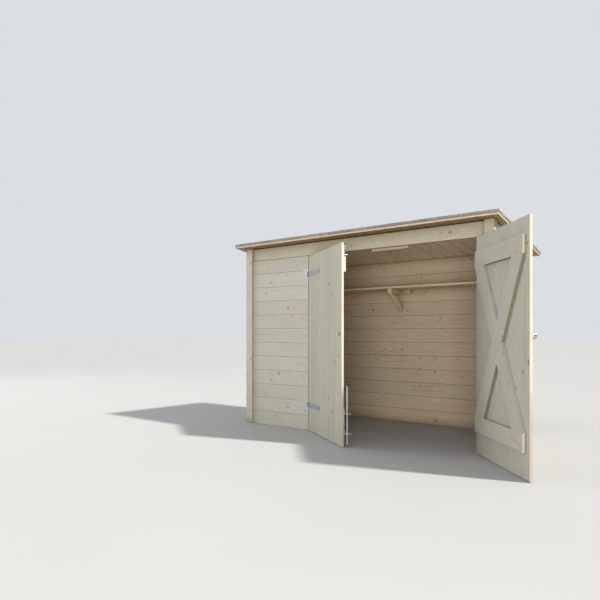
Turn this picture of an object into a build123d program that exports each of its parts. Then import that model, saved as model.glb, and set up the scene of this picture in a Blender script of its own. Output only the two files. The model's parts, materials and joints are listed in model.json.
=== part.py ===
from build123d import *
import math
import os

# Timber bike store: a pent-roofed box of horizontal boards with a pair of ledged and braced doors.
# Origin: middle of the back wall's underside. +X runs along the front to the right,
# +Y towards the back, +Z up. All sizes are in millimetres.

# Carcass
board_rows = 12
board_cover = 124.0
wall = 19.0
overall_width = 2254.0
inner_depth = 876.0
trim_width_left = 72.0
trim_width_right = 64.0
trim_thickness = 19.0
side_trim_width = 49.0
header_height = 108.0
header_gap = 8.0

# Doorway and leaves
left_wall_width = 694.0
right_wall_width = 98.0
leaf_side_gap = 5.0
leaf_meeting_gap = 6.0
leaf_top_gap = 6.0
leaf_foot_gap = 5.0
leaf_thickness = 16.0
left_open_angle = 34.8
right_open_angle = 131.0
shut_angle = 0.25

# Ledges and braces on the inner side of a leaf
ledge_width = 110.0
ledge_thickness = 14.0
ledge_hinge_inset = 19.0
ledge_free_inset = 21.0
top_ledge_drop = 100.0
bottom_ledge_rise = 151.0
brace_width = 126.0
foot_block_width = 70.0
foot_block_clearance = 12.0

# T hinges
pin_offset = 6.0
pin_radius = 3.0
knuckle_radius = 5.5
knuckle_play = 0.3
knuckle_gap = 0.5
hinge_metal = 3.0
left_plate_width = 50.0
right_plate_width = 30.0
hinge_plate_height = 95.0
low_hinge_height = 219.0
high_hinge_height = 1328.0
strap_length = 277.0
strap_height = 40.0
strap_tip_height = 32.0
plate_relief = 1.5

# Knob of the right leaf
knob_inset = 57.0
knob_height = 810.0
knob_radius = 21.0
knob_reach = 52.0
knob_neck_radius = 9.0
knob_neck_length = 20.0
knob_crown_round = 12.0
knob_back_round = 6.0
knob_rose_radius = 21.0
knob_rose_thickness = 4.0

# Small turn of the left leaf
turn_inset = 53.0
turn_height = 821.0
turn_rose_radius = 15.0
turn_rose_thickness = 5.0
turn_stem_radius = 4.5
turn_stem_length = 18.0
turn_drop_length = 12.0
turn_drop_radius = 7.0
turn_drop_head = 7.5

# Sliding bolt at the head of the left leaf
head_bolt_inset = 31.0
head_rod_radius = 5.0
head_rod_length = 74.0
head_rod_play = 0.5
head_rod_stand_off = 15.5
head_bolt_plate_width = 36.0
head_bolt_plate_thickness = 3.0
head_bolt_drop = 5.0
head_staple_height = 8.0
head_staple_wall = 3.0
head_staple_spacing = 14.0
head_grip_length = 22.0
head_grip_radius = 4.0
head_grip_rise = 8.0

# Drop bolt at the foot of the left leaf
drop_rod_radius = 5.5
drop_rod_play = 0.5
drop_rod_foot = 10.0
drop_rod_length = 428.0
drop_rod_stand_off = 28.0
drop_guide_reach = 59.0
drop_guide_width = 28.0
drop_guide_metal = 4.0
drop_guide_flange = 34.0
drop_guide_low = 87.0
drop_guide_high = 232.0
drop_collar_radius = 11.0
drop_collar_height = 7.0
drop_collar_gap = 0.5
drop_grip_length = 36.0
drop_bend_radius = 12.0
drop_inset = 15.0

# Stop batten behind the header
stop_offset = 30.0
stop_length = 310.0
stop_height = 60.0
stop_show = 19.0
stop_thickness = 19.0
stop_hole_clearance = 2.5

# Roof
roof_fall = 0.12
deck_thickness = 19.0
front_overhang = 78.0
back_overhang = 175.0
left_overhang = 82.0
right_overhang = 49.0
batten_width = 38.0
batten_height = 14.0
batten_gap = 1.0
felt_thickness = 4.0
felt_lap = 8.0

# Shelf
shelf_depth = 245.0
shelf_thickness = 18.0
shelf_underside = 1231.0
shelf_end_gap = 1.0
arm_size = 40.0
arm_setback = 6.0
wall_cleat_length = 212.0
wall_cleat_height = 36.0
cleat_thickness = 22.0
brace_timber = 36.0
brace_foot_height = 1034.0
brace_nose = 12.0

# Places worked out from the sizes above
x_left = -overall_width / 2
x_right = overall_width / 2
wall_x_left = x_left + trim_thickness
wall_x_right = x_right - trim_thickness
jamb_left = x_left + left_wall_width
jamb_right = x_right - right_wall_width
doorway_middle = (jamb_left + jamb_right) / 2
back_in = -wall / 2
back_out = wall / 2
front_in = back_in - inner_depth
front_out = front_in - wall
header_foot = board_rows * board_cover
header_top = header_foot + header_height
soffit_height = header_top + header_gap
pitch = math.atan(roof_fall)
cos_pitch = math.cos(pitch)
sin_pitch = math.sin(pitch)

pin_y = front_out - pin_offset
left_pin_x = jamb_left + leaf_side_gap / 2
right_pin_x = jamb_right - leaf_side_gap / 2
leaf_width = (jamb_right - jamb_left - 2 * leaf_side_gap - leaf_meeting_gap) / 2
leaf_start = leaf_side_gap / 2
leaf_end = leaf_start + leaf_width
leaf_foot = leaf_foot_gap
leaf_top = header_foot - leaf_top_gap
leaf_face = pin_offset
leaf_back = leaf_face + leaf_thickness
ledge_back = leaf_back + ledge_thickness
ledge_start = leaf_start + ledge_hinge_inset
ledge_end = leaf_end - ledge_free_inset
ledge_tops = (leaf_foot + bottom_ledge_rise + ledge_width, leaf_top - top_ledge_drop)
hinge_heights = (low_hinge_height, high_hinge_height)
head_rod_depth = leaf_back + head_rod_stand_off


def soffit(y):
    """Height of the roof's underside at depth y."""
    return soffit_height - roof_fall * (y - front_out)


def leaf_frame(pin_x, open_angle, hand):
    """Frame of a leaf at rest: origin on its pin, x towards the right when shut, y inwards."""
    turn = math.radians(-hand * open_angle)
    return Plane(
        origin=(pin_x, pin_y, 0),
        x_dir=(math.cos(turn), math.sin(turn), 0),
        z_dir=(0, 0, 1),
    )


def upright(frame, depth):
    """Upright plane across a leaf at a depth behind its pin, facing outwards, y up."""
    return Plane(
        origin=frame.from_local_coords((0, depth, 0)),
        x_dir=frame.x_dir,
        z_dir=-frame.y_dir,
    )


def save(piece, name):
    """Label a finished piece and write it as one STEP file."""
    piece.part.label = name
    export_step(piece.part, f"parts/{name}.step")


def panel(name, x_from, x_to, profile):
    """Piece of constant section along X, its profile given as (y, z) points."""
    with BuildPart() as piece:
        with BuildSketch(Plane.YZ.offset(x_from)):
            with BuildLine():
                Polyline(*profile, close=True)
            make_face()
        extrude(amount=x_to - x_from)
    save(piece, name)


def upright_board(name, x_from, x_to, y_from, y_to):
    """Board standing on the ground and cut off along the roof's underside."""
    profile = [(y_from, 0), (y_to, 0), (y_to, soffit(y_to)), (y_from, soffit(y_from))]
    panel(name, x_from, x_to, profile)


def rectangle_profile(y_from, y_to, z_from, z_to):
    return [(y_from, z_from), (y_to, z_from), (y_to, z_to), (y_from, z_to)]


def make_walls():
    """Four walls, the front one split beside and over the doorway."""
    front = rectangle_profile(front_out, front_in, 0, header_foot)
    header = rectangle_profile(front_out, front_in, header_foot, header_top)
    panel("front_wall_left", wall_x_left, jamb_left, front)
    panel("front_wall_right", jamb_right, wall_x_right, front)
    panel("header_board", wall_x_left, wall_x_right, header)
    upright_board("side_wall_left", wall_x_left, wall_x_left + wall, front_in, back_in)
    upright_board("side_wall_right", wall_x_right - wall, wall_x_right, front_in, back_in)
    upright_board("back_wall", wall_x_left, wall_x_right, back_in, back_out)


def make_corner_trims():
    """A face board and a side board lap round each of the four corners."""
    edges = {
        "left": ((x_left, x_left + trim_width_left), (x_left, wall_x_left)),
        "right": ((x_right - trim_width_right, x_right), (wall_x_right, x_right)),
    }
    for side, (face, edge) in edges.items():
        upright_board(f"front_trim_{side}", *face, front_out - trim_thickness, front_out)
        upright_board(f"back_trim_{side}", *face, back_out, back_out + trim_thickness)
        upright_board(f"front_side_trim_{side}", *edge, front_out, front_out + side_trim_width)
        upright_board(f"back_side_trim_{side}", *edge, back_out - side_trim_width, back_out)


def make_roof():
    """Sloping deck, a batten round its top edge, and felt dressed over both."""
    base = Plane(
        origin=(0, front_out, soffit_height),
        x_dir=(1, 0, 0),
        z_dir=(0, sin_pitch, cos_pitch),
    )
    edge_left = x_left - left_overhang
    edge_right = x_right + right_overhang
    edge_front = -front_overhang / cos_pitch
    edge_back = (back_out - front_out + back_overhang) / cos_pitch
    width = edge_right - edge_left
    length = edge_back - edge_front
    middle = ((edge_left + edge_right) / 2, (edge_front + edge_back) / 2)
    batten_top = deck_thickness + batten_height
    field_width = width - 2 * batten_width
    field_length = length - 2 * batten_width

    with BuildPart() as deck:
        with BuildSketch(base):
            with Locations(middle):
                Rectangle(width, length)
        extrude(amount=deck_thickness)
    save(deck, "roof_deck")

    with BuildPart() as battens:
        with BuildSketch(base.offset(deck_thickness)):
            with Locations(middle):
                with Locations((0, (length - batten_width) / 2), (0, (batten_width - length) / 2)):
                    Rectangle(width, batten_width)
                with Locations(((width - batten_width) / 2, 0), ((batten_width - width) / 2, 0)):
                    Rectangle(batten_width, field_length - 2 * batten_gap)
        extrude(amount=batten_height)
    save(battens, "roof_edge_battens")

    with BuildPart() as felt:
        with BuildSketch(base.offset(deck_thickness - felt_lap)):
            with Locations(middle):
                Rectangle(width + 2 * felt_thickness, length + 2 * felt_thickness)
        extrude(amount=felt_lap + batten_height + felt_thickness)
        with BuildSketch(base.offset(deck_thickness - felt_lap)):
            with Locations(middle):
                Rectangle(width, length)
        extrude(amount=felt_lap, mode=Mode.SUBTRACT)
        with BuildSketch(base.offset(deck_thickness)):
            with Locations(middle):
                Rectangle(width, length)
                Rectangle(field_width, field_length, mode=Mode.SUBTRACT)
        extrude(amount=batten_height, mode=Mode.SUBTRACT)
        with BuildSketch(base.offset(deck_thickness + felt_thickness)):
            with Locations(middle):
                Rectangle(field_width - 2 * felt_thickness, field_length - 2 * felt_thickness)
        extrude(amount=batten_top, mode=Mode.SUBTRACT)
    save(felt, "roof_felt")


def make_shelf():
    """Shelf across the back, carried by end cleats and one timber bracket."""
    end_left = wall_x_left + wall
    end_right = wall_x_right - wall
    shelf_front = back_in - shelf_depth
    board = rectangle_profile(shelf_front, back_in, shelf_underside, shelf_underside + shelf_thickness)
    panel("shelf_board", end_left + shelf_end_gap, end_right - shelf_end_gap, board)

    with BuildPart() as end_cleats:
        with BuildSketch(Plane.XY.offset(shelf_underside)):
            with Locations((0, back_in - shelf_depth / 2)):
                with Locations(
                    (end_left + cleat_thickness / 2, 0),
                    (end_right - cleat_thickness / 2, 0),
                ):
                    Rectangle(cleat_thickness, shelf_depth)
        extrude(amount=-wall_cleat_height)
    save(end_cleats, "shelf_end_cleats")

    cleat_front = back_in - cleat_thickness
    cleat = rectangle_profile(cleat_front, back_in, shelf_underside - wall_cleat_height, shelf_underside)
    panel("shelf_wall_cleat", -wall_cleat_length / 2, wall_cleat_length / 2, cleat)

    arm_foot = shelf_underside - arm_size
    arm_front = shelf_front + arm_setback
    arm = rectangle_profile(arm_front, cleat_front, arm_foot, shelf_underside)
    panel("shelf_arm", -arm_size / 2, arm_size / 2, arm)

    nose = arm_front + brace_nose
    run = back_in - nose
    drop = arm_foot - brace_foot_height
    slant = math.hypot(run, drop)
    brace = [
        (nose, arm_foot),
        (back_in, brace_foot_height),
        (back_in, brace_foot_height + brace_timber * slant / run),
        (nose + brace_timber * slant / drop, arm_foot),
    ]
    panel("shelf_brace", -brace_timber / 2, brace_timber / 2, brace)


def make_stop_batten():
    """Batten behind the header that stops both leaves, bored for the head bolt."""
    foot = header_foot - stop_show
    shut = leaf_frame(left_pin_x, shut_angle, 1)
    bolt = shut.from_local_coords((leaf_end - head_bolt_inset, head_rod_depth, 0))
    with BuildPart() as batten:
        with BuildSketch(Plane.XY.offset(foot)):
            with Locations((doorway_middle + stop_offset, front_in + stop_thickness / 2)):
                Rectangle(stop_length, stop_thickness)
            with Locations((bolt.X, bolt.Y)):
                Circle(head_rod_radius + stop_hole_clearance, mode=Mode.SUBTRACT)
        extrude(amount=stop_height)
    save(batten, "stop_batten")


def make_hinge_plates(name, pin_x, hand, width):
    """Wall halves of the two T hinges of a leaf, with their pins."""
    knuckle_height = (hinge_plate_height - strap_height) / 2 - knuckle_gap
    with BuildPart() as plates:
        for height in hinge_heights:
            face = Plane(origin=(pin_x, front_out, height), x_dir=(1, 0, 0), z_dir=(0, -1, 0))
            with BuildSketch(face):
                with Locations((-hand * (width / 2), 0)):
                    Rectangle(width, hinge_plate_height)
                with Locations((-hand * (knuckle_radius + plate_relief) / 2, 0)):
                    Rectangle(
                        knuckle_radius + plate_relief,
                        strap_height + 2 * knuckle_gap,
                        mode=Mode.SUBTRACT,
                    )
            extrude(amount=hinge_metal)
            for level in (-hinge_plate_height / 2, hinge_plate_height / 2 - knuckle_height):
                with BuildSketch(Plane(origin=(pin_x, pin_y, height + level))):
                    Circle(knuckle_radius)
                extrude(amount=knuckle_height)
            with BuildSketch(Plane(origin=(pin_x, pin_y, height - hinge_plate_height / 2))):
                Circle(pin_radius)
            extrude(amount=hinge_plate_height)
    save(plates, name)


def make_hinge_straps(name, frame, hand):
    """Door halves of the two T hinges of a leaf: tapered straps with one knuckle each."""
    root = strap_height / 2
    tip = strap_tip_height / 2
    with BuildPart() as straps:
        for height in hinge_heights:
            with BuildSketch(upright(frame, leaf_face)):
                with BuildLine():
                    Polyline(
                        (0, height - root),
                        (hand * strap_length, height - tip),
                        (hand * strap_length, height + tip),
                        (0, height + root),
                        close=True,
                    )
                make_face()
            extrude(amount=hinge_metal)
            with BuildSketch(frame.offset(height - root)):
                Circle(knuckle_radius)
            extrude(amount=strap_height)
            with BuildSketch(frame.offset(height - root)):
                Circle(pin_radius + knuckle_play)
            extrude(amount=strap_height, mode=Mode.SUBTRACT)
    save(straps, name)


def make_leaf(side, frame, hand):
    """Boarded leaf with its two ledges and the crossed braces between them."""
    with BuildPart() as boards:
        with BuildSketch(frame.offset(leaf_foot)):
            with Locations((hand * (leaf_start + leaf_end) / 2, (leaf_face + leaf_back) / 2)):
                Rectangle(leaf_width, leaf_thickness)
        extrude(amount=leaf_top - leaf_foot)
    save(boards, f"{side}_door_boards")

    with BuildPart() as ledges:
        with BuildSketch(upright(frame, ledge_back)):
            for top in ledge_tops:
                with Locations((hand * (ledge_start + ledge_end) / 2, top - ledge_width / 2)):
                    Rectangle(ledge_end - ledge_start, ledge_width)
        extrude(amount=ledge_thickness)
    save(ledges, f"{side}_door_ledges")

    low = ledge_tops[0]
    high = ledge_tops[1] - ledge_width
    rise = high - low
    across = ledge_end - ledge_start
    # a brace fills the panel corner to corner: its horizontal cut is the positive root of
    # lean * cut**2 + 2 * pull * cut = square * (across**2 + rise**2)
    square = brace_width**2
    lean = rise**2 - square
    pull = square * across
    cut = (math.sqrt(pull**2 + lean * square * (across**2 + rise**2)) - pull) / lean
    run = across - cut

    def slanted(start, end):
        """Outline of a brace from (start, low) to (end, high), each the lower-s corner."""
        return [
            (hand * start, low),
            (hand * (start + cut), low),
            (hand * (end + cut), high),
            (hand * end, high),
        ]

    rising = slanted(ledge_start, ledge_start + run)
    falling = slanted(ledge_start + run, ledge_start)
    with BuildPart() as long_brace:
        with BuildSketch(upright(frame, ledge_back)):
            with BuildLine():
                Polyline(*rising, close=True)
            make_face()
        extrude(amount=ledge_thickness)
    save(long_brace, f"{side}_door_long_brace")

    with BuildPart() as short_braces:
        with BuildSketch(upright(frame, ledge_back)):
            with BuildLine():
                Polyline(*falling, close=True)
            make_face()
            with BuildLine():
                Polyline(*rising, close=True)
            make_face(mode=Mode.SUBTRACT)
        extrude(amount=ledge_thickness)
    save(short_braces, f"{side}_door_short_braces")


def make_foot_block(frame):
    """Block under the left leaf's bottom ledge that carries the drop bolt's lower guide."""
    foot = leaf_foot + foot_block_clearance
    top = ledge_tops[0] - ledge_width
    with BuildPart() as block:
        with BuildSketch(frame.offset(foot)):
            with Locations((ledge_end - foot_block_width / 2, leaf_back + ledge_thickness / 2)):
                Rectangle(foot_block_width, ledge_thickness)
        extrude(amount=top - foot)
    save(block, "left_door_foot_block")


def outward(frame, hand, inset, height):
    """Plane on a leaf's outer face near its free edge, facing outwards, y up."""
    return Plane(
        origin=frame.from_local_coords((hand * (leaf_end - inset), leaf_face, height)),
        x_dir=frame.x_dir,
        z_dir=-frame.y_dir,
    )


def make_knob(frame):
    """Turned knob on a round rose, on the outer face of the right leaf."""
    place = outward(frame, -1, knob_inset, knob_height)
    with BuildPart() as knob:
        with BuildSketch(place):
            Circle(knob_rose_radius)
        extrude(amount=knob_rose_thickness)
        with BuildSketch(place):
            Circle(knob_neck_radius)
        extrude(amount=knob_neck_length)
        with BuildSketch(place.offset(knob_neck_length)):
            Circle(knob_radius)
        extrude(amount=knob_reach - knob_neck_length)
        rims = knob.edges().filter_by(GeomType.CIRCLE).group_by(Axis(place.origin, place.z_dir))
        fillet(rims[-2].sort_by(SortBy.RADIUS)[-1], radius=knob_back_round)
        rims = knob.edges().filter_by(GeomType.CIRCLE).group_by(Axis(place.origin, place.z_dir))
        fillet(rims[-1], radius=knob_crown_round)
    save(knob, "right_door_knob")


def make_turn(frame):
    """Small turn on the left leaf: a rose, a stem and a pear-shaped drop hanging from it."""
    place = outward(frame, 1, turn_inset, turn_height)
    drop_centre = place.from_local_coords((0, 0, turn_stem_length))
    hanging = Plane(origin=drop_centre, x_dir=frame.x_dir, z_dir=frame.y_dir)
    with BuildPart() as turn:
        with BuildSketch(place):
            Circle(turn_rose_radius)
        extrude(amount=turn_rose_thickness)
        with BuildSketch(place):
            Circle(turn_stem_radius)
        extrude(amount=turn_stem_length)
        with BuildSketch(hanging):
            with BuildLine():
                Polyline(
                    (0, -turn_drop_length - turn_drop_radius),
                    (0, turn_drop_head),
                    (turn_stem_radius, turn_drop_head),
                    (turn_drop_radius, -turn_drop_length),
                )
                RadiusArc(
                    (turn_drop_radius, -turn_drop_length),
                    (0, -turn_drop_length - turn_drop_radius),
                    turn_drop_radius,
                )
            make_face()
        revolve(axis=Axis(drop_centre, (0, 0, 1)))
    save(turn, "left_door_knob")


def make_head_bolt(frame):
    """Short sliding bolt above the top ledge: staples on a plate, and the rod with its grip."""
    centre_x = leaf_end - head_bolt_inset
    plate_back = leaf_back + head_bolt_plate_thickness
    rod_y = head_rod_depth
    plate_top = header_foot - stop_show - head_bolt_drop
    plate_foot = ledge_tops[1] + head_bolt_drop
    bore = head_rod_radius + head_rod_play
    staple_depth = rod_y + bore + head_staple_wall - plate_back
    staple_width = 2 * (bore + head_staple_wall)
    with BuildPart() as base:
        with BuildSketch(frame.offset(plate_foot)):
            with Locations((centre_x, (leaf_back + plate_back) / 2)):
                Rectangle(head_bolt_plate_width, head_bolt_plate_thickness)
        extrude(amount=plate_top - plate_foot)
        for level in (plate_top - head_staple_height, plate_top - head_staple_height - head_staple_spacing):
            with BuildSketch(frame.offset(level)):
                with Locations((centre_x, plate_back + staple_depth / 2)):
                    Rectangle(staple_width, staple_depth)
                with Locations((centre_x, rod_y)):
                    Circle(bore, mode=Mode.SUBTRACT)
            extrude(amount=head_staple_height)
    save(base, "head_bolt_plate")

    rod_foot = plate_top - head_rod_length
    grip_height = rod_foot + head_grip_rise
    with BuildPart() as rod:
        with BuildSketch(frame.offset(rod_foot)):
            with Locations((centre_x, rod_y)):
                Circle(head_rod_radius)
        extrude(amount=head_rod_length)
        with BuildSketch(upright(frame, rod_y)):
            with Locations((centre_x, grip_height)):
                Circle(head_grip_radius)
        extrude(amount=-(head_rod_radius + head_grip_length))
    save(rod, "head_bolt_rod")


def make_drop_bolt(frame):
    """Long drop bolt at the free edge: two angle guides, and the rod with collar and grip."""
    centre_x = ledge_end - drop_inset
    rod_y = ledge_back + drop_rod_stand_off
    bore = drop_rod_radius + drop_rod_play
    with BuildPart() as guides:
        for level in (drop_guide_low, drop_guide_high):
            with BuildSketch(frame.offset(level)):
                with Locations((centre_x, ledge_back + drop_guide_reach / 2)):
                    Rectangle(drop_guide_width, drop_guide_reach)
                with Locations((centre_x, rod_y)):
                    Circle(bore, mode=Mode.SUBTRACT)
            extrude(amount=drop_guide_metal)
            with BuildSketch(frame.offset(level)):
                with Locations((centre_x, ledge_back + drop_guide_metal / 2)):
                    Rectangle(drop_guide_width, drop_guide_metal)
            extrude(amount=drop_guide_flange)
    save(guides, "drop_bolt_guides")

    collar_foot = drop_guide_low + drop_guide_metal + drop_collar_gap
    foot = frame.from_local_coords((centre_x, rod_y, drop_rod_foot))
    bend = Plane(origin=foot, x_dir=-frame.x_dir, z_dir=frame.y_dir)
    height = drop_rod_length - drop_rod_radius
    with BuildPart() as rod:
        with BuildLine(bend):
            FilletPolyline((0, 0), (0, height), (drop_grip_length, height), radius=drop_bend_radius)
        with BuildSketch(frame.offset(drop_rod_foot)):
            with Locations((centre_x, rod_y)):
                Circle(drop_rod_radius)
        sweep()
        with BuildSketch(frame.offset(collar_foot)):
            with Locations((centre_x, rod_y)):
                Circle(drop_collar_radius)
        extrude(amount=drop_collar_height)
    save(rod, "drop_bolt_rod")


os.makedirs("parts", exist_ok=True)
make_walls()
make_corner_trims()
make_roof()
make_shelf()
make_stop_batten()

left_frame = leaf_frame(left_pin_x, left_open_angle, 1)
right_frame = leaf_frame(right_pin_x, right_open_angle, -1)
for side, frame, pin_x, hand, plate_width in (
    ("left", left_frame, left_pin_x, 1, left_plate_width),
    ("right", right_frame, right_pin_x, -1, right_plate_width),
):
    make_hinge_plates(f"{side}_hinge_plates", pin_x, hand, plate_width)
    make_hinge_straps(f"{side}_hinge_straps", frame, hand)
    make_leaf(side, frame, hand)
make_turn(left_frame)
make_knob(right_frame)
make_foot_block(left_frame)
make_head_bolt(left_frame)
make_drop_bolt(left_frame)
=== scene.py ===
"""Looks of a timber bike store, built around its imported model.

Lengths are in metres in the model's frame: +X along the front to the right, +Y to the back, +Z up.
"""

import json
import math

import bpy
import numpy as np
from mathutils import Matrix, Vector


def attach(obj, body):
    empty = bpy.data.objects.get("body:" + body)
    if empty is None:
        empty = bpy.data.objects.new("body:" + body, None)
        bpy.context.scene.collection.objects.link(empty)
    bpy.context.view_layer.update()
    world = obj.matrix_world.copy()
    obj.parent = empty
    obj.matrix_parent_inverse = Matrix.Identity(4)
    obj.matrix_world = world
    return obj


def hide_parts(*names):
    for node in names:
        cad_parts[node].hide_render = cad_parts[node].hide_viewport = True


bl_info = {
    "name": "Timber bike store",
    "version": (1, 0, 0),
    "blender": (4, 5, 0),
    "location": "3D View > Sidebar > Bike store",
    "description": "Boards, felt, ironmongery and finishes of a pent-roofed bike store",
    "category": "Object",
}

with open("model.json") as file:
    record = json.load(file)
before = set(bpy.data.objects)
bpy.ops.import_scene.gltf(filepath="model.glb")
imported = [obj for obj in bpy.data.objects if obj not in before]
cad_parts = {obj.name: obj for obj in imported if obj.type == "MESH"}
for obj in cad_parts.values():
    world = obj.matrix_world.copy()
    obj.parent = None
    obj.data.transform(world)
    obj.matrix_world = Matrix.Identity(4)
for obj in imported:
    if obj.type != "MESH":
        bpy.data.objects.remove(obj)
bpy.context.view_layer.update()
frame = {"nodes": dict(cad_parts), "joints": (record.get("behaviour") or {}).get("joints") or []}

MM = 0.001
HAIR = 0.05 * MM
X, Y, Z = np.eye(3)
HANDS = {"left": 1, "right": -1}

# Faces of an eased bar, numbered round it: the far and the near one across, and the rounds by the near one
FAR_FACE = 5
NEAR_FACE = 11
NEAR_ROUNDS = (0, 1, 9, 10)
# Faces of a course that look into the store
INNER_FACES = (0, 10, 11)

# Front of the walls, and the knots seen there: place, radius and how flat the knot is
FACE = -0.9045
WALL_KNOTS = [
    (x, FACE, z, radius * MM, squeeze)
    for x, z, radius, squeeze in (
        (-0.838, 1.282, 8, 1.3),
        (-0.649, 1.050, 9, 1.1),
        (-0.756, 0.467, 11, 1.2),
        (-0.838, 0.410, 8, 1.3),
        (-0.649, 0.176, 8, 1.2),
        (-0.897, 0.291, 6, 1.0),
        (-0.900, 1.185, 6, 1.0),
        (-0.751, 1.347, 5, 1.0),
        (-0.661, 1.343, 5, 1.0),
    )
]
HEADER_KNOTS = [(0.815, FACE, 1.545, 9 * MM, 1.6), (-0.002, FACE, 1.536, 6 * MM, 1.4)]
CORNER_KNOTS = [(-1.067, -0.9235, 1.474, 7 * MM, 0.8), (-1.067, -0.9235, 0.595, 7 * MM, 0.8)]
# Knots on the leaves: distance from the pin, height, and radius in millimetres
LEAF_KNOTS = {
    "left": [
        (0.477, 1.206, 8),
        (0.538, 1.115, 7),
        (0.668, 0.665, 7),
        (0.598, 0.608, 8),
        (0.161, 0.653, 8),
        (0.477, 0.328, 8),
        (0.532, 0.234, 7),
        (0.345, 0.856, 5),
    ],
    "right": [(0.087, 1.266, 9), (0.715, 0.664, 9), (0.649, 0.606, 8)],
}
LEDGE_KNOTS = {
    "left": [],
    "right": [(0.611, 0.451, 9), (0.454, 0.704, 8), (0.436, 0.803, 8), (0.30, 0.225, 6)],
}
# Section of the felt at the roof's edge, in millimetres: distance in from the edge, height over its rim
FELT_INSETS = (0.0, 0.6, 0.1, 0.4, 1.6, 4.0, 9.0, 22.0, 34.0, 42.0, 45.0, 46.4, 52.0, 64.0)
FELT_HEIGHTS = (0.0, 11.0, 13.0, 22.0, 25.2, 26.0, 25.8, 25.9, 25.8, 25.6, 24.0, 15.5, 12.6, 12.0)


class Place:
    """Frame of a body at rest: the body's name, a corner and three unit axes, one in each row."""

    def __init__(self, body, corner, axes):
        self.body = body
        self.corner = np.asarray(corner, float)
        self.axes = np.asarray(axes, float)

    def to_store(self, points):
        return self.corner + np.asarray(points) @ self.axes

    def corners_of(self, node):
        """A CAD node's vertices, seen in this frame."""
        mesh = frame["nodes"][node].data
        flat = np.zeros(len(mesh.vertices) * 3, np.float32)
        mesh.vertices.foreach_get("co", flat)
        return (flat.reshape(-1, 3).astype(float) - self.corner) @ self.axes.T

    def extent(self, node):
        return box(self.corners_of(node))


STORE = Place("shelter", (0, 0, 0), (X, Y, Z))


def leaf_place(side, sizes):
    """Frame of a leaf at rest: corner on its pin line, x to the right when shut, y inwards."""
    joint = next(j for j in frame["joints"] if j["name"] == f"{side}_door_hinge")
    opened = sizes.left_open if side == "left" else sizes.right_open
    turn = -HANDS[side] * opened
    along = (math.cos(turn), math.sin(turn), 0)
    inwards = (-math.sin(turn), math.cos(turn), 0)
    return Place(f"{side}_door", (*joint["pos_m"][:2], 0), (along, inwards, Z))


def roof_place(sizes):
    """Frame of the roof: y down the slope to the back, z square to the boards."""
    pitch = math.atan(sizes.roof_fall)
    level, rise = math.cos(pitch), math.sin(pitch)
    return Place("shelter", (0, 0, 0), (X, (0, level, -rise), (0, rise, level)))


def soffit(y, sizes):
    """Height of the roof boards' underside at depth y: the deck's lower plane solved for z."""
    roof = roof_place(sizes)
    low = roof.extent("roof_deck")[0][2]
    return (low - y * roof.axes[2][1]) / roof.axes[2][2]


# Shapes


def box(points):
    """Lowest and highest corner of some points."""
    return points.min(0), points.max(0)


def halves(points):
    """Points below and above the middle of their height."""
    above = points[:, 2] > (points[:, 2].min() + points[:, 2].max()) / 2
    return points[~above], points[above]


def around(points):
    """Corners of a convex outline in order round its middle, doubles left out."""
    kept = np.unique(np.round(points, 5), axis=0)
    middle = kept.mean(0)
    turn = np.arctan2(kept[:, 1] - middle[1], kept[:, 0] - middle[0])
    return kept[np.argsort(turn)]


def turning(outline):
    """Twice the area of an outline, above zero when it runs anticlockwise."""
    after = np.roll(outline, -1, 0)
    return (outline[:, 0] * after[:, 1] - after[:, 0] * outline[:, 1]).sum()


def longest_edge(outline):
    """Unit direction of an outline's longest edge."""
    edges = np.roll(outline, -1, 0) - outline
    longest = edges[np.argmax((edges**2).sum(1))]
    return longest / np.linalg.norm(longest)


def drawn_in(outline, distance):
    """Outline moved inwards: each corner slides along the sum of its two edges' inward normals."""
    edges = np.roll(outline, -1, 0) - outline
    normals = np.stack([-edges[:, 1], edges[:, 0]], -1)
    normals /= np.linalg.norm(normals, axis=1)[:, None]
    normals *= math.copysign(1, turning(outline))
    before = np.roll(normals, 1, 0)
    share = 1 + (normals * before).sum(1)
    return outline + distance * (normals + before) / share[:, None]


def eased(width, depth, ease):
    """Rectangle from (0, 0) with quarter-circle corners: centre plus ease times (cos, sin) of the turn."""
    angle = np.arange(4)[:, None] * math.pi / 2 + math.pi + np.linspace(0, math.pi / 2, 3)
    right, far = width - ease, depth - ease
    centres = np.array([(ease, ease), (right, ease), (right, far), (ease, far)])
    ring = centres[:, None] + ease * np.stack([np.cos(angle), np.sin(angle)], -1)
    return ring.reshape(-1, 2)


def course(height, depth, ease, gap, slot, back_ease, plain=(False, False)):
    """Outline of one matchboard as (height, depth) pairs, anticlockwise, and 1 at its points in a joint.

    Each long edge is sloped off at the face, steps back into a narrow slot, meets its neighbour
    halfway, and is sloped off again at the back. A plain edge is left square. The third result is
    1 for the faces of plain edges.
    """
    deep = ease + slot
    back = [(back_ease, depth, 0), (HAIR, depth - back_ease, 1), (HAIR, deep, 1)]
    worked = [*back, (gap, deep, 1), (gap, ease, 1), (ease, 0, 0)]
    square = [(0, depth, 0), (0, 0, 0)]
    lower, upper = (np.array(square if bare else worked, float) for bare in plain)
    ring = np.concatenate([lower, upper[::-1] * (-1, 1, 1) + (height, 0, 0)])
    edges = np.zeros(len(ring), int)
    edges[[0, -2]] = plain
    return ring[:, :2], ring[:, 2], edges


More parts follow.
